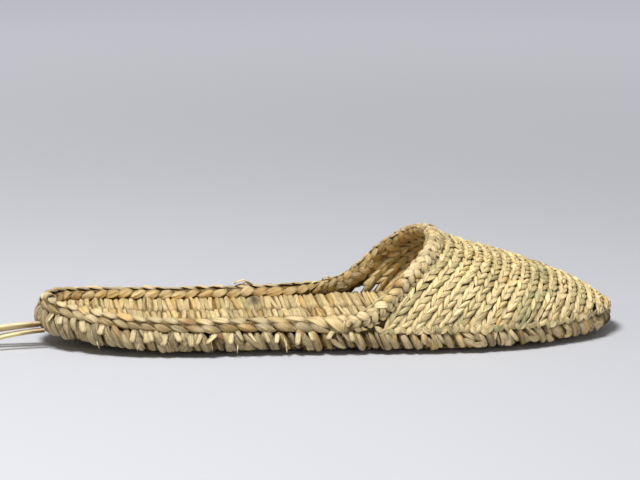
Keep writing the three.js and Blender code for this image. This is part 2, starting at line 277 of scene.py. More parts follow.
def vamp_point(row, around, depth=0.0):
    row, around = np.broadcast_arrays(np.asarray(row, float), np.clip(around, 0, 1))
    climb = 1 - np.abs(2 * around - 1)
    angle = climb * QUARTER_TURN
    tip = vamp_tip(depth)
    past = (row - 1) / (row_count - 1)
    early = row < 1
    foot = np.where(early, mix(THROAT_FOOT, FIRST_ROW_FOOT, row), mix(FIRST_ROW_FOOT, tip, past))
    crest = np.where(early, mix(THROAT_STATION, first_row_crest, row), mix(first_row_crest, tip, past))
    rise = np.sin(angle) ** ARCH_EXPONENT
    throat_forward = np.interp(climb, throat.points[:, 0], throat.points[:, 1])
    forward = mix(throat_forward, rise, smoothstep(row, PLAIT_MIDDLE_ROW, 1))
    station = np.minimum(mix(foot, crest, forward), tip)
    reach = half_width(station, VAMP_SET_IN + depth) * np.maximum(0, np.cos(angle)) ** ARCH_EXPONENT
    top = np.maximum(ridge_height(station, depth), seat(station))
    across = np.where(around < 0.5, -reach, reach)
    return np.stack([station, across, mix(seat(station), top, rise)], -1)


def vamp_fullness(points):
    station = points[..., 0]
    wide = np.abs(points[..., 1]) / np.maximum(half_width(station, VAMP_SET_IN), LEAST_ARCH)
    tall = np.maximum(ridge_height(station, 0.0) - seat(station), LEAST_ARCH)
    high = np.maximum(0, points[..., 2] - seat(station)) / tall
    return wide**ARCH_POWER + high**ARCH_POWER


def vamp_normal(points):
    step = 0.5
    slope = []
    for axis in range(3):
        nudge = np.zeros(3)
        nudge[axis] = step
        slope.append(vamp_fullness(points + nudge) - vamp_fullness(points - nudge))
    return unit(np.stack(slope, -1))


# The plait's middle line: along the pad's edge round the heel, then over the throat

def plait_line():
    rim = edge_point(np.arange(RIM_POINTS) / RIM_POINTS / 2, PLAIT_SET_IN + RIM_WIDTH / 2)
    rim = rim + pad_normal(rim[:, 0]) * RIM_HEIGHT / 2
    rim[:, 2] += seat(rim[:, 0])
    rim = rim[rim[:, 0] < THROAT_FOOT]
    depth = WALL_THICKNESS / 2 - FIT_GAP
    around = np.arange(1, COLLAR_POINTS) / COLLAR_POINTS
    edge = vamp_point(0, around, depth)
    along = vamp_point(0, around + 0.01, depth) - vamp_point(0, around - 0.01, depth)
    across = unit(np.cross(along, vamp_normal(edge)))
    collar = edge + across * COLLAR_WIDTH / 2
    far_rim = rim[1:][::-1] * [1, -1, 1]
    return Path([*rim, *collar, *far_rim], closed=True)


plait_path = plait_line()


def plait_frame(share):
    """The plait's place, its directions across and up, and how far it has climbed on the vamp."""
    place = plait_path.at(share)
    along = plait_path.along(share)
    climbed = smoothstep(place[..., 0], THROAT_FOOT, FIRST_ROW_FOOT)
    up = mix(pad_normal(place[..., 0]), vamp_normal(place), climbed[..., None])
    across = unit(np.cross(along, up))
    return place, across, unit(np.cross(across, along)), climbed


# Small woven shapes, each made once and laid many times

LYING = Matrix.Rotation(QUARTER_TURN, 4, "Y")
LEAF_SIDES = 8
HEIGHT_TAPER = 0.7
UNDERSIDE_SHARE = 0.6


class Form:
    """A small closed shape with u along it, v across it and w out of it, each from -1 to 1."""

    def __init__(self, shape):
        shape.verts.index_update()
        self.faces = [[vertex.index for vertex in face.verts] for face in shape.faces]
        self.u, self.v, self.w = np.array([vertex.co for vertex in shape.verts]).T[:, None, :]
        self.share = self.u / 2 + 0.5
        self.crease = np.where((self.w > 0) & (np.abs(self.v) < 0.1), self.w, 0)
        shape.free()

    def folded(self, fold):
        """Heights of copies whose upper crease is raised or sunk by the share that fold gives."""
        return self.w + fold * self.crease

    def turned(self, length, width, angle, bend=0.0):
        """How far copies of this size, turned by an angle, reach along and aside of a line."""
        return rotated(self.u * length / 2, self.v * width / 2 + bend, angle)


def leaf_form(rings, point, taper, spread, roof):
    """A leaf pointed by point and taper; spread and roof shape the two faces beside its crease."""
    leaf = bmesh.new()
    bmesh.ops.create_uvsphere(leaf, u_segments=LEAF_SIDES, v_segments=rings, radius=1, matrix=LYING)
    for vertex in leaf.verts:
        u, y, z = vertex.co
        girth = max(math.hypot(y, z), 1e-6)
        width = max(0.0, 1 - abs(u) ** point) ** taper
        v = math.copysign(abs(y / girth) ** spread, y) * width
        w = math.copysign(abs(z / girth) ** roof, z) * width**HEIGHT_TAPER
        vertex.co = (u, v, w if w > 0 else w * UNDERSIDE_SHARE)
    return Form(leaf)


def strand_form(sides, cuts):
    """A plain strand with flat ends."""
    strand = bmesh.new()
    bmesh.ops.create_cone(
        strand, cap_ends=True, segments=sides, radius1=1, radius2=1, depth=2, matrix=LYING
    )
    long_edges = [edge for edge in strand.edges if abs(edge.verts[0].co.x - edge.verts[1].co.x) > 1]
    bmesh.ops.subdivide_edges(strand, edges=long_edges, cuts=cuts)
    return Form(strand)


stitch_form = leaf_form(rings=8, point=1.5, taper=0.95, spread=0.85, roof=1.25)
lining_form = leaf_form(rings=6, point=1.9, taper=0.8, spread=0.8, roof=1.2)
strip_form = leaf_form(rings=10, point=6, taper=0.6, spread=0.7, roof=1.0)
wrap_form = leaf_form(rings=10, point=3.2, taper=0.7, spread=0.75, roof=1.1)
rim_form = leaf_form(rings=12, point=1.9, taper=0.9, spread=0.75, roof=1.2)


# Stains seen in the photograph: pixel x and y, reach in pixels, shade and redness

STAIN_KIND = 0.95
STAINS = {
    "plait_stitches": (
        (189, 323, 8, 0.62, 1.0), (397, 282, 5, 0.95, 0.9), (419, 278, 4, 0.9, 0.75),
        (296, 320, 9, 1.12, 0), (62, 292, 9, 0.75, 0.1), (222, 319, 12, 1.12, 0),
    ),
    "edge_wraps": (
        (218, 337, 8, 0.7, 1.0), (430, 334, 6, 0.95, 0.5), (490, 334, 6, 0.95, 0.45),
        (168, 340, 8, 0.9, 0.3),
    ),
    "insole_strips": (
        (254, 300, 7, 0.1, 0.2), (113, 303, 8, 0.92, 0.45), (136, 301, 4, 0.85, 0.5),
        (262, 312, 9, 0.82, 0.2), (181, 314, 8, 0.88, 0.3),
    ),
}


def stained(name, places, tone, kind):
    """Darkens and reddens the copies' points that fall on a stain seen in the photograph."""
    for x, y, reach, shade, redness in STAINS.get(name, ()):
        near = np.exp(-(np.linalg.norm(seen_at(places) - [x, y], axis=-1) / reach) ** 2)
        tone = tone * (1 - (1 - shade) * near)
        kind = mix(kind, STAIN_KIND, redness * near)
    return tone, kind


# Pieces, each standing in for an imported node, which it hides

CREASE_ANGLE = radians(46)
GRAIN_SHIFT = 500
WELD_DISTANCE = 1e-5


def placed(name, data, place=(0, 0, 0)):
    item = bpy.data.objects.new(name, data)
    item.location = place
    bpy.context.scene.collection.objects.link(item)
    return item


def aimed(name, data, place, forward):
    item = placed(name, data, place)
    item.rotation_mode = "QUATERNION"
    item.rotation_quaternion = Vector(forward).to_track_quat("-Z", "Y")
    return item


def to_part(points):
    """Points in millimetres by station, in metres from the frame's own origin."""
    return (points - [FOOT_LENGTH / 2, 0, 0]) * MILLIMETRE


def kept_mesh(name, shell):
    mesh = bpy.data.meshes.new(name)
    shell.to_mesh(mesh)
    shell.free()
    return mesh


def finish_piece(mesh, node, finish):
    piece = placed(mesh.name, mesh)
    mesh.materials.append(finishes[finish])
    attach(piece, "root")
    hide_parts(node)
    return piece


def smooth_outwards(shell):
    bmesh.ops.recalc_face_normals(shell, faces=shell.faces)
    for face in shell.faces:
        face.smooth = True


class Weave:
    """Copies of one form, joined into one piece with a mark for each copy's colour: its own tone and kind,
    with painted shade and light in the tone.
    """

    def __init__(self, name, node, finish, form, seed):
        self.name, self.node, self.finish, self.form = name, node, finish, form
        self.random = np.random.default_rng(seed)
        self.laid = []

    def draws(self, copies):
        """Random amounts with a row for each copy: normal by middle and spread, even by two limits."""
        shape = (copies, 1)
        return partial(self.random.normal, size=shape), partial(self.random.uniform, size=shape)

    def lay(self, places, tone, kind, length, width, clear=slice(None)):
        """Adds the clear copies: their points, then tone, kind, length and width of each."""
        marks = [np.broadcast_to(tone, places.shape[:2])]
        marks += [np.broadcast_to(value, (len(places), 1)) for value in (kind, length, width)]
        self.laid.append([values[clear] for values in (places, *marks)])

    def join(self):
        places, tone, kind, length, width = (np.concatenate(values) for values in zip(*self.laid))
        copies, count = tone.shape
        form = self.form
        faces = [[corner + copy * count for corner in face] for copy in range(copies) for face in form.faces]
        mesh = bpy.data.meshes.new(self.name)
        mesh.from_pydata(to_part(places.reshape(-1, 3)), [], faces)
        tone, kind = stained(self.name, places, tone, kind)
        marks = np.stack(np.broadcast_arrays(tone, kind, form.share, form.v / 2 + 0.5), -1)
        mark = mesh.attributes.new("mark", "FLOAT_COLOR", "POINT")
        mark.data.foreach_set("color", marks.ravel().astype("f"))
        shift = self.random.uniform(0, GRAIN_SHIFT, (copies, 2))
        grain = np.stack([form.u * length / 2 + shift[:, :1], form.v * width / 2 + shift[:, 1:]], -1)
        corners = np.zeros(len(mesh.loops), dtype=np.int32)
        mesh.loops.foreach_get("vertex_index", corners)
        grain_map = mesh.uv_layers.new(name="grain")
        grain_map.data.foreach_set("uv", grain.reshape(-1, 2)[corners].ravel().astype("f"))
        shell = bmesh.new()
        shell.from_mesh(mesh)
        smooth_outwards(shell)
        shell.to_mesh(mesh)
        shell.free()
        mesh.set_sharp_from_angle(angle=CREASE_ANGLE)
        return finish_piece(mesh, self.node, self.finish)


def make_core(name, node, depth):
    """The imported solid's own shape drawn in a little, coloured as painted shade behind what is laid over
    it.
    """
    core = bmesh.new()
    core.from_mesh(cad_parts[node].data)
    bmesh.ops.remove_doubles(core, verts=core.verts, dist=WELD_DISTANCE)
    bmesh.ops.recalc_face_normals(core, faces=core.faces)
    core.normal_update()
    for vertex in core.verts:
        vertex.co -= vertex.normal * depth * MILLIMETRE
    finish_piece(kept_mesh(name, core), node, "bed")


# Shader nodes written as expressions

class Value:
    """One output of a material's nodes, with Python's own operators."""

    def __init__(self, finish, socket):
        self.finish = finish
        self.socket = socket

    def math(self, operation, *terms):
        return self.finish.node("ShaderNodeMath", {"operation": operation}, dict(enumerate(terms)))

    def __add__(self, other):
        return self.math("ADD", self, other)

    def __sub__(self, other):
        return self.math("SUBTRACT", self, other)

    def __mul__(self, other):
        return self.math("MULTIPLY", self, other)

    __radd__ = __add__

    def off_centre(self):
        """How far a share from 0 to 1 lies from its middle, up to 1 at both ends."""
        return self.math("ABSOLUTE", (self - 0.5) * 2)

    def between(self, low, high, most=1.0):
        values = {0: self, 1: low, 2: high, 3: 0.0, 4: most}
        return self.finish.node("ShaderNodeMapRange", {"interpolation_type": "SMOOTHSTEP"}, values)


class Finish:
    """A material under construction."""

    def __init__(self, name):
        self.material = bpy.data.materials.new(name)
        self.material.use_nodes = True
        self.tree = self.material.node_tree
        self.shader = self.tree.nodes["Principled BSDF"]

    def node(self, kind, settings, values=None, output=0):
        made = self.tree.nodes.new(kind)
        for name, setting in settings.items():
            setattr(made, name, setting)
        self.connect(made, values or {})
        return Value(self, made.outputs[output])

    def connect(self, made, values):
        for name, value in values.items():
            if isinstance(value, Value):
                self.tree.links.new(value.socket, made.inputs[name])
            else:
                made.inputs[name].default_value = value

    def ramp(self, factor, stops):
        colour = self.node("ShaderNodeValToRGB", {}, {0: factor})
        elements = colour.socket.node.color_ramp.elements
        while len(elements) < len(stops):
            elements.new(0.5)
        for element, (place, *colour_seen) in zip(elements, stops):
            element.position = place
            element.color = from_photo(*colour_seen)
        return colour

    def blend(self, factor, first, second, blend_type="MIX"):
        settings = {"data_type": "RGBA", "blend_type": blend_type}
        return self.node("ShaderNodeMix", settings, {0: factor, 6: first, 7: second}, output=2)

    def noise(self, vector, scale, detail):
        scaled = self.node("ShaderNodeMapping", {}, {"Vector": vector, "Scale": scale})
        return self.node("ShaderNodeTexNoise", {}, {"Vector": scaled, "Scale": 1.0, "Detail": detail})

    def place(self):
        return self.node("ShaderNodeTexCoord", {}, output="Object")

    def bump(self, strength, depth, height):
        return self.node("ShaderNodeBump", {}, {"Strength": strength, "Distance": depth, "Height": height})

    def surface(self, **values):
        self.connect(self.shader, {name.replace("_", " "): value for name, value in values.items()})
        return self.material


SCREEN_GAMMA = 2.2


def from_photo(red, green, blue):
    """A screen colour as the shader's own light values."""
    return (*((channel / 255) ** SCREEN_GAMMA for channel in (red, green, blue)), 1)


# Dried rush: kinds of leaf from green and grey to straw, cream, yellow, tan and red

TAN_KIND = 0.88
RUSH_KINDS = (
    (0.0, 160, 162, 110), (0.2, 190, 186, 138), (0.4, 216, 198, 146), (0.6, 236, 218, 170),
    (0.75, 226, 198, 130), (TAN_KIND, 202, 160, 104), (1.0, 206, 122, 72),
)
FIBRE_BROWN = from_photo(134, 98, 48)
PATCH_BROWN = from_photo(156, 118, 68)
# EDGE_BROWN darkens the edges and tips of leaves: partly wear, partly painted shade where the leaves meet.
EDGE_BROWN = from_photo(88, 64, 26)
PATCH_SCALE = 60.0
STALK_RELIEF = 0.0004


def rush_finish(name, shade, grain_depth, age):
    """Shade is the piece's own tint, grain_depth the relief of its fibres in metres, age its brown."""
    finish = Finish(name)
    mark = finish.node("ShaderNodeAttribute", {"attribute_name": "mark"}, output="Color")
    across = finish.node("ShaderNodeAttribute", {"attribute_name": "mark"}, output="Alpha")
    parts = [finish.node("ShaderNodeSeparateColor", {}, {0: mark}, output=part) for part in range(3)]
    tone, kind, along = parts
    grain = finish.node("ShaderNodeUVMap", {"uv_map": "grain"})
    fibres = finish.noise(grain, (0.14, 2.4, 1), 3.0)
    fine = finish.noise(grain, (0.3, 6.5, 1), 2.0)
    bands = finish.noise(grain, (0.09, 1.15, 1), 1.0)
    blotches = finish.noise(grain, (0.35, 0.35, 1), 3.0)
    patches = finish.noise(finish.place(), [PATCH_SCALE] * 3, 3.0)
    colour = finish.ramp(kind + (blotches - 0.5) * 0.16, RUSH_KINDS)
    colour = finish.blend(1.0, colour, (*shade, 1), "MULTIPLY")
    colour = finish.blend(fibres.between(0.5, 0.7, 0.55), colour, FIBRE_BROWN)
    colour = finish.blend(patches.between(0.52, 0.8, age), colour, PATCH_BROWN)
    # Edges and tips are darkened towards brown, partly as wear and partly as painted shade where leaves
    # meet.
    worn_and_shaded_edges = along.off_centre().between(0.5, 0.95, 0.5) + across.off_centre().between(0.55, 0.95, 0.45)
    colour = finish.blend(worn_and_shaded_edges, colour, EDGE_BROWN)
    # The mark's tone brightens or darkens the colour: each leaf's own tone, with painted shade between
    # leaves and painted light and shade across the piece.
    light = tone * (0.5 + fine * 0.45 + bands * 0.55)
    grey = finish.node("ShaderNodeCombineColor", {}, {part: light for part in range(3)})
    colour = finish.blend(1.0, colour, grey, "MULTIPLY")
    bump = finish.bump(0.9, grain_depth, fibres * 0.8 + fine * 0.4 + bands)
    roughness = 0.34 + fibres * 0.24 + fine * 0.12
    return finish.surface(Base_Color=colour, Roughness=roughness, Normal=bump, Specular_IOR_Level=0.5)


def shaded_core_finish(name, dark, light):
    """Painted shade behind the weave: pith and stalks coloured as if in shadow."""
    finish = Finish(name)
    stalks = finish.noise(finish.place(), (1400, 260, 700), 3.0)
    colour = finish.blend(stalks.between(0.35, 0.7), dark, light)
    bump = finish.bump(0.8, STALK_RELIEF, stalks)
    return finish.surface(Base_Color=colour, Roughness=0.75 + stalks * 0.1, Normal=bump)


# Camera

CAMERA_CLIP = (0.01, 50)


def make_camera():
    data = bpy.data.cameras.new("photo_camera")
    data.lens = FOCAL_PIXELS / PHOTO_WIDTH * data.sensor_width
    data.clip_start, data.clip_end = CAMERA_CLIP
    bpy.context.scene.camera = aimed("photo_camera", data, CAMERA_PLACE, -CAMERA_BACK)


def seen_at(points):
    """Where points of the slipper, in millimetres by station, fall in the photograph."""
    sight = to_part(points) - np.array(CAMERA_PLACE)
    forward = -np.array(CAMERA_BACK)
    right = unit(np.cross(forward, [0, 0, 1]))
    up = np.cross(right, forward)
    away = sight @ forward
    return np.stack([
        PHOTO_WIDTH / 2 + FOCAL_PIXELS * (sight @ right) / away,
        PHOTO_HEIGHT / 2 - FOCAL_PIXELS * (sight @ up) / away,
    ], -1)


# Loose stems under the heel: width, then x, y and z of the route in millimetres from the part's origin

STEMS = {
    "tie_stem_1": (
        2.8, (-130.7, *range(-135, -192, -4)),
        (-8.6, -8.8, -9, -9.2, -9.4, -9.7, -10, -10.4, -10.8, -11.2, -11.7, -12.2, -12.8, -13.4, -14, -14.6),
        (10.62, 10.44, 10.25, 10.06, 9.68, 9.1, 8.42, 7.45, 6.29, 5.24, 4.13, 3.2, 2.4, 1.8, 1.5, 1.45),
    ),
    "tie_stem_2": (
        2.4, (-131.4, *range(-136, -189, -4)),
        (-4.8, -4.9, -5, -5, -5, -4.9, -4.7, -4.4, -4.1, -3.7, -3.3, -2.8, -2.3, -1.8, -1.2),
        (9.22, 8.97, 8.62, 8.17, 7.62, 6.87, 5.92, 4.88, 3.94, 2.91, 2.1, 1.5, 1.3, 1.25, 1.25),
    ),
    "tie_stem_3": (
        2.2, (-128.9, *range(-134, -187, -4)),
        (-12.4, -12.6, -12.9, -13.3, -13.8, -14.4, -15.1, -15.9, -16.8, -17.7, -18.6, -19.6, -20.6, -21.6,
         -22.6),
        (8.4, 8.08, 7.66, 7.14, 6.52, 5.7, 4.89, 3.98, 3.18, 2.39, 1.75, 1.32, 1.15, 1.15, 1.15),
    ),
    "tie_stem_4": (
        2.0, (-129.9, *range(-134, -177, -3)),
        (-8.6, -8.7, -8.8, -8.8, -8.8, -8.8, -8.8, -8.8, -8.8, -8.7, -8.6, -8.5, -8.4, -8.3, -8.2, -8.1),
        (7.9, 7.64, 7.27, 7, 6.53, 6.06, 5.39, 4.72, 4.06, 3.29, 2.63, 2.07, 1.56, 1.2, 1.1, 1.05),
    ),
}
STEM_FLATNESS = 0.85
STEM_TONE = 1.22
STEM_KINDS = (0.54, 0.62)
GROOVE_DEPTH = 0.2
GROOVE_ANGLE = 9


def strand_along(form, path, width, thickness, twist=0.0):
    """A strand laid along a path in millimetres, flat side up, turned slowly by twist."""
    along = path.along(form.share)
    across = unit(np.cross(along, [0.0, 0.0, 1.0]))
    up = np.cross(across, along)
    v, w = rotated(form.v * width / 2, form.w * thickness / 2, twist * (form.share - 0.5))
    return path.at(form.share) + across * v[..., None] + up * w[..., None]


def make_stems():
    random = np.random.default_rng(11)
    form = strand_form(sides=14, cuts=40)
    grooves = 1 - GROOVE_DEPTH * np.cos(form.v * GROOVE_ANGLE) * np.clip(form.w, 0, 1)
    for name, (width, *axes) in STEMS.items():
        route = list(zip(*axes))
        path = Path([(x + FOOT_LENGTH / 2, y, z) for x, y, z in route])
        middle = path.at(form.share)
        around = strand_along(form, path, width, width * STEM_FLATNESS) - middle
        weave = Weave(name + "_rush", name, "stem", form, random)
        places = middle + around * grooves[..., None]
        weave.lay(places, STEM_TONE, random.uniform(*STEM_KINDS), path.length, width)
        piece = weave.join()
        line = [[value * MILLIMETRE for value in point] for point in route]


# Wraps: bundles of flat fibres turned over the pad's edge, which lean on round the outline as they go
# down, and loose leaves that cross them

FLOOR_CLEARANCE = 0.06
WRAP_PITCH = 4.9
WRAP_LEAN = 4.32
WRAP_STRIPS = 3
WRAP_RADIUS = 1.75
WRAP_SUNK = 0.3
WRAP_WIDTHS = (2.0, 3.0)
WRAP_DEPTHS = (0.7, 1.1)
WRAP_CAVITY = (0.5, 1.9, 0.34)
WRAP_KINDS = (0.32, 0.78)
WRAP_GRAIN_LENGTH = 11
WRAP_TOE_TUCK = 1.1
WRAP_TOE_REACH = 12
WRAP_LIGHT = (0.85, 1.26)
WRAP_LIGHT_REACH = (60, 200)
STRIP_ANGLE = 0.78
CROSSINGS = 2.6
CROSSINGS_AT_TOE = 0.45
CROSSING_LENGTHS = (4.5, 8.5)
CROSSING_WIDTHS = (2.0, 3.7)
CROSSING_CAVITY = (0.8, 2.2, 0.5)
WRAP_SECTION = Path([
    (4.6, 7.5), (3.4, 7.8), (2.4, 7.2), (1.8, 5.9), (1.65, 4.4), (1.9, 3.2), (2.7, 2.3), (4.3, 1.6),
    (7.0, 0.8),
])


def wrap_place(turn, share, lateral, out):
    """A point on the wrapped edge: share runs over the edge from the top, lateral along it."""
    middle = WRAP_SECTION.at(share)
    along = WRAP_SECTION.along(share)
    toe = smoothstep(outline.at(turn)[..., 0], FOOT_LENGTH - WRAP_TOE_REACH, FOOT_LENGTH)
    inset = middle[..., 0] + out * along[..., 1] + WRAP_TOE_TUCK * toe
    height = middle[..., 1] - out * along[..., 0]
    lean = WRAP_LEAN * (0.5 - middle[..., 1] / PAD_THICKNESS)
    place = edge_point(turn + (lateral + lean) / outline.length, inset)
    station = np.clip(place[..., 0], 0, FOOT_LENGTH)
    height = np.maximum(height * pad_height(station) / PAD_THICKNESS, FLOOR_CLEARANCE - EDGE_RISE)
    place[..., 2] = lift(station) + EDGE_RISE + height
    return place


def wrap_light(turn):
    """Painted light and shade: wraps are darker towards the heel and lighter towards the toe."""
    return mix(*WRAP_LIGHT, smoothstep(outline.at(turn)[..., 0], *WRAP_LIGHT_REACH))


def make_wraps():
    form = wrap_form
    weave = Weave("edge_wraps", "sole", "pad", form, 21)
    random = weave.random
    wraps = round(outline.length / WRAP_PITCH)
    wrap = np.repeat(np.arange(wraps), WRAP_STRIPS)[:, None]
    strip = column(np.tile(np.arange(WRAP_STRIPS) - (WRAP_STRIPS - 1) / 2, wraps))
    normal, even = weave.draws(len(wrap))

    def each_wrap(spread):
        return random.normal(0, spread, wraps)[wrap]

    turn = (wrap + 0.5 + each_wrap(0.08)) / wraps
    share = mix(even(0, 0.1), even(0.72, 0.95), form.share)
    width = even(*WRAP_WIDTHS)
    thick = even(*WRAP_DEPTHS)
    fat = (1.05 + each_wrap(0.17)) * (0.5 + 0.55 * np.sin(np.clip(share, 0, 1) ** 0.8 * math.pi))
    round_the_bundle = strip * STRIP_ANGLE + normal(0, 0.14)
    fold = even(-0.5, 0.3)
    out, lateral = rotated(WRAP_RADIUS * fat, form.v * width / 2, round_the_bundle)
    lateral = lateral + (normal(0, 0.7) + each_wrap(1.1)) * (share - 0.35)
    out = out + form.folded(fold) * thick / 2 - WRAP_SUNK
    out = out + each_wrap(0.22) + normal(0, 0.12)
    tone = 0.77 + each_wrap(0.11) + normal(0, 0.12)
    # Painted shade darkens the wraps down between the strips, and painted light makes them lighter towards
    # the toe.
    tone = tone * painted_cavity_shade(out, *WRAP_CAVITY) * wrap_light(turn)
    kind = np.clip(0.6 + each_wrap(0.11) + normal(0, 0.08), *WRAP_KINDS)
    weave.lay(wrap_place(turn, share, lateral, out), tone, kind, WRAP_GRAIN_LENGTH, width)

    turn = random.uniform(0, 1, round(wraps * CROSSINGS))
    heel_half = np.abs(turn - 0.5) > 0.25
    turn = column(turn[heel_half | (random.random(len(turn)) < CROSSINGS_AT_TOE)])
    normal, even = weave.draws(len(turn))
    angle = normal(0.25, 0.7)
    length = even(*CROSSING_LENGTHS)
    width = even(*CROSSING_WIDTHS)
    run, lateral = form.turned(length, width, angle)
    share = np.clip(even(0.2, 0.6) + run / WRAP_SECTION.length, 0, 1)
    fold = even(-0.8, 0.3)
    out = even(1.6, 2.4) + form.folded(fold) * 0.6
    out = out - 1.5 * form.u**2 + form.v * normal(0, 0.35)
    # Painted shade darkens the crossing leaves down between them, and painted light makes them lighter
    # towards the toe.
    tone = (0.8 + normal(0, 0.12)) * painted_cavity_shade(out, *CROSSING_CAVITY) * wrap_light(turn)
    kind = np.clip(normal(0.58, 0.1), *WRAP_KINDS)
    weave.lay(wrap_place(turn, share, lateral, out), tone, kind, WRAP_GRAIN_LENGTH, width)
    weave.join()


# Crosswise strips of folded leaf: the insole and the pad's underside, both in three rows

TONE_SPREAD = 0.09
STRIP_STATIONS = (6.0, FOOT_LENGTH - 5)
LEAST_STRIP_ROOM = 4
STRIP_OVERLAP = 1.8
STRIP_WIDTHS = (0.4, 0.76)
STRIP_DIVE_POWER = 9
STRIP_CAVITY = (-0.6, 0.6, 0.5)
STRIP_KINDS = (0.22, 0.77)
NEAR_SIDE_LIGHT = 1.1
INSOLE_RISE = 1.35
UNDERSIDE_RISE = 1.0
UNDERSIDE_INSET = 4.5


def crosswise_strips(name, node, finish, seed, pitch, inset, borders, level, thick, tone_level):
    form = strip_form
    weave = Weave(name, node, finish, form, seed)
    random = weave.random
    stations = np.arange(*STRIP_STATIONS, pitch / 2)
    rows = len(borders) - 1
    row = np.tile(np.arange(rows), len(stations))
    station = np.repeat(stations, rows)
    station = station + random.normal(0, 0.18, len(row)) + (row % 2) * pitch / 4
    wide = half_width(station, inset)
    clear = wide > LEAST_STRIP_ROOM
    row, station, wide = (values[clear, None] for values in (row, station, wide))
    normal, even = weave.draws(len(row))
    low = np.array(borders)[row] * wide + normal(0, 1.0) - STRIP_OVERLAP
    high = np.array(borders)[row + 1] * wide + normal(0, 1.0) + STRIP_OVERLAP
    run = form.u * (high - low) / 2
    y = (low + high) / 2 + run
    width = pitch * even(*STRIP_WIDTHS)
    x = station + form.v * width / 2 + run * normal(0, 0.035)
    bow = normal(0, 0.3) * (1 - form.u**2)
    roll = normal(0, 0.45)
    fold = even(-0.7, 0.5)
    out = form.folded(fold) * thick / 2 + form.v * roll - np.abs(form.u) ** STRIP_DIVE_POWER
    out = out + normal(0, 0.24)
    pair = np.repeat(random.normal(0, 0.06, len(row) // 2 + 1), 2)[:len(row), None]
    # Painted shade darkens the strips down between them, and painted light makes them lighter on the near
    # side.
    tone = (tone_level + pair + normal(0, TONE_SPREAD)) * painted_cavity_shade(out, *STRIP_CAVITY)
    tone = tone * mix(1, NEAR_SIDE_LIGHT, smoothstep(-y, 5, 25))
    kind = np.clip(normal(0.55, 0.11), *STRIP_KINDS)
    weave.lay(np.stack([x + bow, y, level(x, y, out)], -1), tone, kind, high - low, width)
    weave.join()


def insole_level(x, y, out):
    return seat(x) + INSOLE_RISE + np.minimum(out, 1.5)


def underside_level(x, y, out):
    """The pad rests on its middle, and its underside curves up towards the wrapped edge."""
    middle = half_width(x, REST_INSET)
    edge = np.maximum(half_width(x, UNDERSIDE_INSET), middle + 0.5)
    rise = EDGE_RISE * 0.9 * np.clip((np.abs(y) - middle) / (edge - middle), 0, 1)
    return lift(x) + rise + UNDERSIDE_RISE - np.clip(out, -0.9, 0.85)


def make_strips():
    crosswise_strips(
        "insole_strips", "insole", "mat", seed=31, pitch=4.4, inset=7.0, borders=(-1, -0.4, 0.13, 1),
        level=insole_level, thick=1.6, tone_level=0.98,
    )
    crosswise_strips(
        "underside_strips", "sole", "pad", seed=41, pitch=4.9, inset=4.6, borders=(-1, -0.33, 0.33, 1),
        level=underside_level, thick=1.3, tone_level=0.84,
    )


# Vamp: twined rows of leaves in pairs, which meet in points towards the near edge. A gap has its
# station, width and height; a greener row has its place, reach and amount.

THROAT_STITCH = 4.6
TOE_STITCH = 3.7
STEEP_TILT = radians(15)
SHALLOW_TILT = radians(19)
LEAF_LENGTHS = (1.75, 2.15)
LEAF_WIDTHS = (1.0, 1.25)
LEAF_LEAN = 0.42
LEAF_TIP_DIVE = 0.3
HAND_SHARE = 0.25
BROAD_LIMITS = (1.2, 8)
CREST_RISE = 0.35
CREST_SLOPE = 1.5
VAMP_CAVITY = (-0.35, 0.75, 0.42)
VAMP_KINDS = (0.02, 0.9)
LINING_LIGHT = (1.35, 0.92)
LINING_LIGHT_REACH = (0, 24)
FAR_GAPS = ((151.5, 7.5, 3.8), (159.5, 3.4, 2.4))
LEAF_GAP_MARGIN = 1.5
WALL_GAP_MARGIN = 0.9
WALL_LAYERS = (0.8, 1.7)
WALL_ROWS = (0.7, row_count - 0.05)
GREEN_ROWS = ((1.4, 1.3, 0.28), (6.1, 1.1, 0.3), (10.9, 1.7, 0.46), (14.8, 0.8, 0.2))
GREEN_SHADE = 0.36
GREEN_AMOUNTS = (0.45, 1.05)
RARE_TAN = 0.985


def wale_table(row, depth):
    around = np.linspace(0, 1, 241)
    points = vamp_point(row, around, depth)
    reach = np.concatenate([[0], np.cumsum(np.linalg.norm(np.diff(points, axis=0), axis=1))])
    return around, reach


def green_share(row):
    return sum(amount * np.exp(-((row - middle) / reach) ** 2) for middle, reach, amount in GREEN_ROWS)


def in_far_gap(points, margin):
    """Whether a point lies in one of the open gaps at the foot of the far wall."""
    high = points[..., 2] - seat(points[..., 0])
    inside = np.zeros(high.shape, bool)
    for station, wide, tall in FAR_GAPS:
        taper = 1 - high / (tall + margin)
        inside |= (np.abs(points[..., 0] - station) < (wide / 2 + margin) * taper) & (points[..., 1] > 0)
    return inside


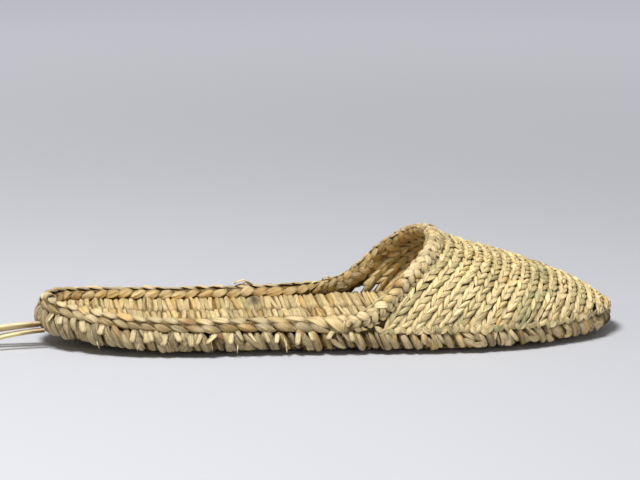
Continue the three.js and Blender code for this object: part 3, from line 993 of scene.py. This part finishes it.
def make_vamp_side(name, form, side, depth, rows, seed, tone_level, fatness, thick):
    """Side is 1 for the leaves outside the wall and -1 for those inside."""
    weave = Weave(name, "upper", "vamp", form, seed)
    random = weave.random
    for row in rows:
        around, reach = wale_table(row + 0.5, depth)
        stitches = int(reach[-1] // mix(THROAT_STITCH, TOE_STITCH, row / row_count))
        if stitches < 2:
            continue
        step = reach[-1] / stitches
        shift = random.uniform(-0.5, 0.5)
        row_tone = random.normal(0, 0.03) - GREEN_SHADE * green_share(row)
        slow, quick, _ = random.uniform(0, 6, 3)
        normal, even = weave.draws(stitches + 1)
        for hand, tilt in ((-1, -STEEP_TILT), (1, SHALLOW_TILT)):
            middle = (column(np.arange(stitches + 1)) + 0.5 + shift + 0.06 * hand) * step
            middle = middle + normal(0, 0.16)
            here = np.interp(middle, reach, around)
            ahead, behind = (vamp_point(row + 0.5 + nudge, here, depth) for nudge in (0.5, -0.5))
            above, below = (vamp_point(row + 0.5, here + nudge, depth) for nudge in (0.01, -0.01))
            upward = unit(above - below)
            skew = np.sum((ahead - behind) * upward, -1)
            broad = np.linalg.norm(ahead - behind - upward * skew[..., None], axis=-1)
            broad = np.clip(broad, *BROAD_LIMITS)
            angle = tilt + normal(0, 0.08)
            length = step * even(*LEAF_LENGTHS)
            width = broad / 2 * even(*LEAF_WIDTHS) * fatness
            bend = normal(0, 0.22) * (1 - form.u**2)
            wander = 0.04 * np.sin(here * 17 + slow) + 0.03 * np.sin(here * 41 + quick)
            run, off = form.turned(length, width, angle)
            off = off + bend * np.cos(angle) + (hand * HAND_SHARE + wander) * broad
            place_around = np.interp(middle + run - off * skew / broad, reach, around)
            skin = vamp_point(row + 0.5 + off / broad, place_around, depth)
            fold = even(-0.6, 0.35)
            thickness = thick * even(0.85, 1.2)
            out = form.folded(fold) * thickness / 2
            out = out - LEAF_LEAN * form.u - LEAF_TIP_DIVE * np.abs(form.u) ** 3
            out = out + normal(0, 0.12) + form.v * normal(0, 0.2)
            out = out + CREST_RISE - CREST_SLOPE * (off / broad) ** 2 * np.minimum(broad / 4, 1.2)
            clear = ~in_far_gap(vamp_point(row + 0.5 + hand * HAND_SHARE, here, depth), LEAF_GAP_MARGIN)
            places = skin + vamp_normal(skin) * (side * out)[..., None]
            tone = tone_level + row_tone + normal(0, TONE_SPREAD)
            # Painted light and shade: the lining is lighter low down by the seat and darker up under the
            # opening.
            if side < 0:
                high = skin[..., 2] - seat(skin[..., 0])
                tone = tone * mix(*LINING_LIGHT, smoothstep(high, *LINING_LIGHT_REACH))
            # Painted shade: the leaves are darker down between them.
            tone = tone * painted_cavity_shade(out, *VAMP_CAVITY)
            kind = normal(0.63, 0.07)
            kind = kind - green_share(row) * even(*GREEN_AMOUNTS)
            kind = np.where(even(0, 1) > RARE_TAN, TAN_KIND - 0.06, kind)
            weave.lay(places, tone, np.clip(kind, *VAMP_KINDS), length, width, clear[:, 0])
    weave.join()


def wall_skin(places):
    """Where the wall's flat grid lies on the vamp, its first layer outside and its second inside."""
    skin = vamp_point(mix(*WALL_ROWS, places[:, 0] / 2 + 0.5), places[:, 1] / 2 + 0.5)
    return skin - vamp_normal(skin) * mix(*WALL_LAYERS, places[:, 2])[:, None]


def make_wall():
    """The thin wall between the two layers of leaves, with the far gaps left open, dark as painted shade."""
    wall = bmesh.new()
    bmesh.ops.create_grid(wall, x_segments=76, y_segments=52, size=1)
    middles = np.array([face.calc_center_median() for face in wall.faces])
    gaps = in_far_gap(wall_skin(middles), WALL_GAP_MARGIN)
    open_faces = [face for face, is_open in zip(wall.faces, gaps) if is_open]
    bmesh.ops.delete(wall, geom=open_faces, context="FACES")
    inner = bmesh.ops.extrude_face_region(wall, geom=wall.faces[:])["geom"]
    inner = [item for item in inner if isinstance(item, bmesh.types.BMVert)]
    bmesh.ops.translate(wall, vec=(0, 0, 1), verts=inner)
    skin = to_part(wall_skin(np.array([vertex.co for vertex in wall.verts])))
    for vertex, place in zip(wall.verts, skin):
        vertex.co = place
    smooth_outwards(wall)
    finish_piece(kept_mesh("vamp_wall", wall), "upper", "core")


def make_vamp():
    make_vamp_side(
        "vamp_stitches", stitch_form, side=1, depth=0.0, rows=range(1, row_count), seed=51,
        tone_level=1.14, fatness=0.98, thick=1.75,
    )
    make_vamp_side(
        "vamp_lining", lining_form, side=-1, depth=WALL_THICKNESS, rows=range(1, row_count - 2), seed=52,
        tone_level=0.94, fatness=1.1, thick=1.4,
    )
    make_wall()


# Anchors: the folded leaves at the foot of the twined rows, a chain of wide points over the wraps

ANCHOR_PITCH = 5.2
ANCHOR_START = 150.0
ANCHOR_TILT = radians(46)
ANCHOR_LENGTHS = (5.4, 7.0)
ANCHOR_WIDTHS = (2.5, 3.3)
ANCHOR_SPREAD = 1.25
ANCHOR_RISE = 1.2
ANCHOR_OUT = 0.9
ANCHOR_TOE = (FOOT_LENGTH - 20, FOOT_LENGTH - 4)
ANCHOR_CAVITY = (0.3, 1.6, 0.4)
ANCHOR_KINDS = (0.05, 0.85)
FAR_GAPS_END = FAR_GAPS[-1][0] + 5


def side_turn(station):
    """The outline's turn at a station of the near side."""
    return np.interp(station, np.maximum.accumulate(outline.at(NEAR_TURNS)[:, 0]), NEAR_TURNS)


def make_anchors():
    form = stitch_form
    weave = Weave("row_anchors", "upper", "vamp", form, 61)
    start = side_turn(ANCHOR_START)
    points = round((1 - 2 * start) * outline.length / ANCHOR_PITCH)
    point = column(np.repeat(np.arange(points) + 0.5, 2))
    hand = column(np.tile([-1.0, 1.0], points))
    normal, even = weave.draws(len(point))
    angle = ANCHOR_TILT + normal(0, 0.24)
    length = even(*ANCHOR_LENGTHS)
    width = even(*ANCHOR_WIDTHS)
    turn = mix(start, 1 - start, point / points)
    lateral, rise = form.turned(length, width, hand * angle)
    lateral = lateral + hand * ANCHOR_SPREAD
    rise = rise + ANCHOR_RISE + normal(0, 0.45)
    toe = smoothstep(outline.at(turn)[..., 0], *ANCHOR_TOE)
    rise = rise * (1 - 0.5 * toe) - 0.4 * toe
    fold = even(-0.9, 0.0)
    out = ANCHOR_OUT * (1 - toe - np.abs(form.u) ** 2.5) + form.folded(fold) * 0.8
    out = out + normal(0.1, 0.15) + form.v * normal(0.0, 0.3)
    place = edge_point(turn + lateral / outline.length, VAMP_SET_IN - out)
    place[..., 2] = seat(np.clip(place[..., 0], 0, FOOT_LENGTH)) + rise
    x, y, _ = place.mean(1).T
    clear = (y <= 0) | (x >= FAR_GAPS_END)
    row = 1 + (x - ANCHOR_START) / (FOOT_LENGTH - ANCHOR_START) * row_count
    # Painted shade: the anchor leaves are darker down between them.
    tone = (1.0 + normal(0, 0.1)) * painted_cavity_shade(out, *ANCHOR_CAVITY)
    kind = np.clip(normal(0.58, 0.08) - column(green_share(row)) * 0.8, *ANCHOR_KINDS)
    weave.lay(place, tone, kind, length, width, clear)
    weave.join()


# Plait stitches: rows of leaves round its section. Angles turn from its outer side over its top, and a
# row's heading turns its leaves from the plait's own line towards lower angles, both in degrees. Each
# row has the climb on which it lies, its angle, heading, pitch, length, width, tone and kind.

RIM = (-1, 0.62)
COLLAR = (0.34, 2)
LOOPS = (0.8, 2)
PLAIT_ROWS = (
    (RIM, -16, 22, 8.2, 13.6, 5.2, 0.83, 0.64),
    (RIM, 73, 22, 8.2, 13.8, 5.0, 0.97, 0.58),
    (RIM, 166, -23, 8.2, 13.6, 5.2, 0.9, 0.68),
    (COLLAR, 172, 6, 4.2, 7.4, 2.9, 0.84, 0.66),
    (COLLAR, 121, 30, 4.7, 8.2, 3.7, 1.06, 0.6),
    (COLLAR, 74, -34, 3.9, 6.2, 2.9, 1.02, 0.56),
    (LOOPS, 26, 66, 2.7, 5.0, 2.5, 1.0, 0.6),
    (COLLAR, 222, -20, 4.5, 7.6, 3.5, 0.84, 0.72),
    (COLLAR, 268, 20, 4.5, 7.6, 3.7, 0.82, 0.7),
    (COLLAR, 315, -20, 4.5, 7.6, 3.5, 0.82, 0.68),
)
ROW_START_SHIFT = 0.27
RIM_LEAF, COLLAR_LEAF = 0.85, 0.65
RIM_SCALES = (0.8, 1.08)
CLIMB_SCALE = 0.72
SECTION_INSET, SECTION_SUNK = 0.4, 0.35
PLAIT_CAVITY = (-0.4, 0.8, 0.36)
PLAIT_KINDS = (0.25, 0.8)
FAR_LIGHT = 1.09


def plait_scale(place, climb):
    """The rim's leaves are longest near the toe on the near side, and shortest up the throat."""
    near = smoothstep(-place[1], 10, 25) * smoothstep(place[0], 40, 110)
    return mix(*RIM_SCALES, near) * mix(1, CLIMB_SCALE, smoothstep(climb, 0.05, 0.35))


def make_plait():
    form = rim_form
    weave = Weave("plait_stitches", "edge_plait", "plait", form, 71)
    random = weave.random
    for order, (part, row_angle, row_heading, row_pitch, *size, row_tone, row_kind) in enumerate(PLAIT_ROWS):
        gap = row_pitch / plait_path.length
        share = ROW_START_SHIFT * order * gap
        end = 1 + share
        while share < end - 0.5 * gap:
            start, _, _, climbed = plait_frame(share)
            scale = plait_scale(start, climbed) if part is RIM else 1
            stretch = scale * random.uniform(0.92, 1.08)
            share += gap * stretch
            if not part[0] <= plait_frame(share)[3] <= part[1]:
                continue
            length = size[0] * stretch * random.uniform(0.94, 1.06)
            width = size[1] * (0.5 + 0.5 * scale) * random.uniform(0.84, 1.12)
            heading = radians(row_heading) + random.normal(0, 0.07)
            bend = random.normal(0, 0.3) * (1 - form.u**2)
            run, aside = form.turned(length, width, heading, bend)
            place, across, up, climb = plait_frame(share + run / plait_path.length)
            half_across = mix(RIM_WIDTH, COLLAR_WIDTH, climb) / 2 - SECTION_INSET
            half_up = mix(RIM_HEIGHT, COLLAR_THICKNESS, climb) / 2 - SECTION_SUNK
            angle = radians(row_angle) + random.normal(0, 0.06)
            angle = angle - aside / ((half_across + half_up) / 2)
            fold = random.uniform(-0.6, 0.35)
            out = form.folded(fold) * (RIM_LEAF if part is RIM else COLLAR_LEAF)
            out = out - np.abs(form.u) ** 2.4 + random.normal(0.12, 0.13)
            out = out - form.v * random.normal(0.1, 0.2) + 0.3 * form.u * random.normal(0.6, 0.5)
            sideways = (half_across + out) * np.cos(angle)
            upwards = (half_up + out) * np.sin(angle)
            places = place + across * sideways[..., None] + up * upwards[..., None]
            # Painted light makes the rim's leaves lighter on the far side, and painted shade darkens them
            # down between the leaves.
            far = smoothstep(place[..., 1].mean(), 5, 25) * (climb.mean() < 0.3)
            tone = row_tone + random.normal(0, TONE_SPREAD)
            tone = tone * mix(1, FAR_LIGHT, far) * painted_cavity_shade(out, *PLAIT_CAVITY)
            kind = np.clip(random.normal(row_kind, 0.09), *PLAIT_KINDS)
            weave.lay(places, tone, kind, length, width)
    weave.join()


# Cut ends under the near rim, as the photograph's pixel x, lean in degrees and length in millimetres.
# Loose fibres below them run from one pixel to another, and tufts on the far rim over three pixels,
# each with its width in millimetres.

CUT_ENDS = (
    (51, -20, 4), (60, 15, 3.2), (83, 25, 4.8), (101, -10, 4), (133, -8, 5.2), (147, 8, 4.4),
    (151, 20, 4), (164, -12, 4.8), (178, 30, 4), (191, 5, 5.2), (199, -25, 4.8), (211, -48, 5.6),
    (231, -8, 4.4), (240, 30, 4.4), (253, 38, 5.2), (267, 25, 4.8), (277, -10, 3.6), (298, -6, 5.2),
    (312, 20, 3.6), (330, -30, 4), (352, 12, 4),
)
FIBRES = (
    ((286, 340), (287, 352), 0.7), ((284, 337), (286, 347), 0.5), ((345, 318), (342, 338), 0.45),
    ((210, 336), (213, 352), 0.5), ((96, 340), (100, 349), 0.4), ((238, 345), (237, 353), 0.6),
    ((139, 343), (137, 351), 0.4),
)
TUFTS = (
    ((234, 283), (244, 280), (252, 285), 2.4), ((240, 287), (246, 282), (250, 287), 1.6),
    ((310, 285), (316, 281), (323, 285), 2.0), ((322, 279), (327, 276), (331, 280), 1.4),
)
CUT_END_WIDTHS = (2.2, 3.4)
CUT_THICKNESS = 0.6
LOOSE_GRAIN_LENGTH = 6
FIBRE_INSET = -0.8
LOWEST_FIBRE = -9.5
TUFT_INSETS = (4.5, 5.5, 4.5)
TUFT_HEIGHT = 7
HIGHEST_TUFT = 10


def side_place(turn, inset, high):
    """A point at an inset from the outline and a height over the seat."""
    place = edge_point(turn, inset)
    place[..., 2] = seat(place[..., 0]) + high
    return place


def turn_seen_at(pixel_x, far, inset, high):
    """The outline's turn whose point, at this inset and height over the seat, is seen at pixel x."""
    turns = np.linspace(0.02, 0.48, 400)
    points = side_place(turns, inset, high) * [1, -1 if far else 1, 1]
    turn = np.interp(pixel_x, np.maximum.accumulate(seen_at(points)[:, 0]), turns)
    return 1 - turn if far else turn


def height_seen_at(pixel_y, turn, inset):
    """Height over the seat that falls on pixel y."""
    highs = np.linspace(-14, 16, 61)
    points = side_place(np.full(len(highs), turn), inset, highs)
    return np.interp(-pixel_y, -seen_at(points)[:, 1], highs)


def make_loose_ends():
    form = strand_form(sides=8, cuts=5)
    weave = Weave("cut_ends", "sole", "stem", form, 81)
    random = weave.random

    def add(points, width, thickness, tone, kind, twist=0.0):
        places = strand_along(form, Path(points), width, thickness, twist)
        weave.lay(places, tone, kind, LOOSE_GRAIN_LENGTH, width)

    for pixel_x, lean, length in CUT_ENDS:
        high = -0.2 + random.normal(0, 0.5)
        turn = turn_seen_at(pixel_x, False, -0.3, high)
        drop, aside = rotated(length, 0, radians(lean))
        points = [
            side_place(
                turn + aside * (share - 0.5) / outline.length, 0.8 - 2.6 * share**0.8,
                high + 1.2 - drop * share,
            )
            for share in (0, 0.35, 0.7, 1)
        ]
        width = random.uniform(*CUT_END_WIDTHS)
        tone, kind = random.uniform(0.8, 1.0), random.uniform(0.5, 0.66)
        add(points, width, CUT_THICKNESS, tone, kind, random.normal(0, 0.3))
    for (x0, y0), (x1, y1), width in FIBRES:
        start = turn_seen_at(x0, False, FIBRE_INSET, -4)
        end = turn_seen_at(x1, False, FIBRE_INSET, -6)
        high = height_seen_at(y0, start, FIBRE_INSET)
        low = max(height_seen_at(y1, end, FIBRE_INSET), LOWEST_FIBRE)
        middle = side_place((start + end) / 2, -1.3, (high + low) / 2)
        points = [side_place(start, -0.2, high), middle, side_place(end, -1.2, low)]
        add(points, width, width * 0.7, 1.15, 0.6)
    for *pixels, width in TUFTS:
        points = []
        for (x, y), inset in zip(pixels, TUFT_INSETS):
            turn = turn_seen_at(x, True, inset, TUFT_HEIGHT)
            points.append(side_place(turn, inset, min(height_seen_at(y, turn, inset), HIGHEST_TUFT)))
        add(points, width, CUT_THICKNESS, 1.1, 0.58, 0.6)
    weave.join()


# Floor and lights. A light has its place, aim, width and height in metres, and its watts.

FLOOR_REACH = 6.0
FLOOR_COLOUR = from_photo(197, 198, 202)
FLOOR_GLOW = (0.25, 0.253, 0.272, 1)
GLOW_REACH = (0.25, 1.15)
LIGHTS = {
    "key": ((-0.36, -0.36, 1.1), (0, 0, 0), (0.42, 0.32), 16.6),
    "low_front": ((0.7, -1.5, 0.5), (0, 0, 0.02), (0.9, 0.6), 2.0),
}
WORLD_COLOUR = (0.92, 0.94, 1.0, 1)
WORLD_STRENGTH = 0.26


def floor_finish():
    """Pale card that keeps its brightness far from the lights."""
    finish = Finish("pale_card")
    length = {"operation": "LENGTH"}
    away = finish.node("ShaderNodeVectorMath", length, {0: finish.place()}, output="Value")
    glow = finish.blend(away.between(*GLOW_REACH), (0, 0, 0, 1), FLOOR_GLOW)
    return finish.surface(
        Base_Color=FLOOR_COLOUR, Roughness=0.9, Emission_Color=glow, Emission_Strength=1.0
    )


def make_stage():
    floor = bmesh.new()
    bmesh.ops.create_grid(floor, x_segments=1, y_segments=1, size=FLOOR_REACH)
    mesh = kept_mesh("studio_floor", floor)
    mesh.materials.append(floor_finish())
    stage = placed("studio_floor", mesh)


def make_lights():
    for name, (place, aim, size, power) in LIGHTS.items():
        data = bpy.data.lights.new(name, "AREA")
        data.shape = "RECTANGLE"
        data.size, data.size_y = size
        data.energy = power
        aimed(name, data, place, Vector(aim) - Vector(place))
    world = bpy.data.worlds.new("studio_air")
    world.use_nodes = True
    background = world.node_tree.nodes["Background"]
    background.inputs["Color"].default_value = WORLD_COLOUR
    background.inputs["Strength"].default_value = WORLD_STRENGTH
    bpy.context.scene.world = world
    bpy.context.scene.view_settings.view_transform = "Standard"


RUSH_LOOKS = {
    "stem": ((1.02, 1.0, 0.96), 0.0003, 0.1), "pad": ((0.86, 0.8, 0.76), 0.0005, 0.45),
    "mat": ((1.0, 0.93, 0.84), 0.0004, 0.3), "vamp": ((1.04, 0.99, 0.9), 0.0003, 0.25),
    "plait": ((0.96, 0.9, 0.84), 0.0004, 0.35),
}
finishes = {name: rush_finish(name + "_rush", *look) for name, look in RUSH_LOOKS.items()}
# Painted shade: the dark pith of the wall and the brown bed of the cores stand for the shade behind the
# weave.
finishes["core"] = shaded_core_finish("shadowed_pith", from_photo(60, 44, 20), from_photo(112, 86, 46))
finishes["bed"] = shaded_core_finish("shaded_rush_bed", from_photo(96, 72, 36), from_photo(158, 128, 76))

make_camera()
make_stems()
make_core("pad_core", "sole", 1.2)
make_core("mat_core", "insole", 0.9)
make_core("plait_core", "edge_plait", 0.8)
make_wraps()
make_strips()
make_vamp()
make_anchors()
make_plait()
make_loose_ends()
make_stage()
make_lights()
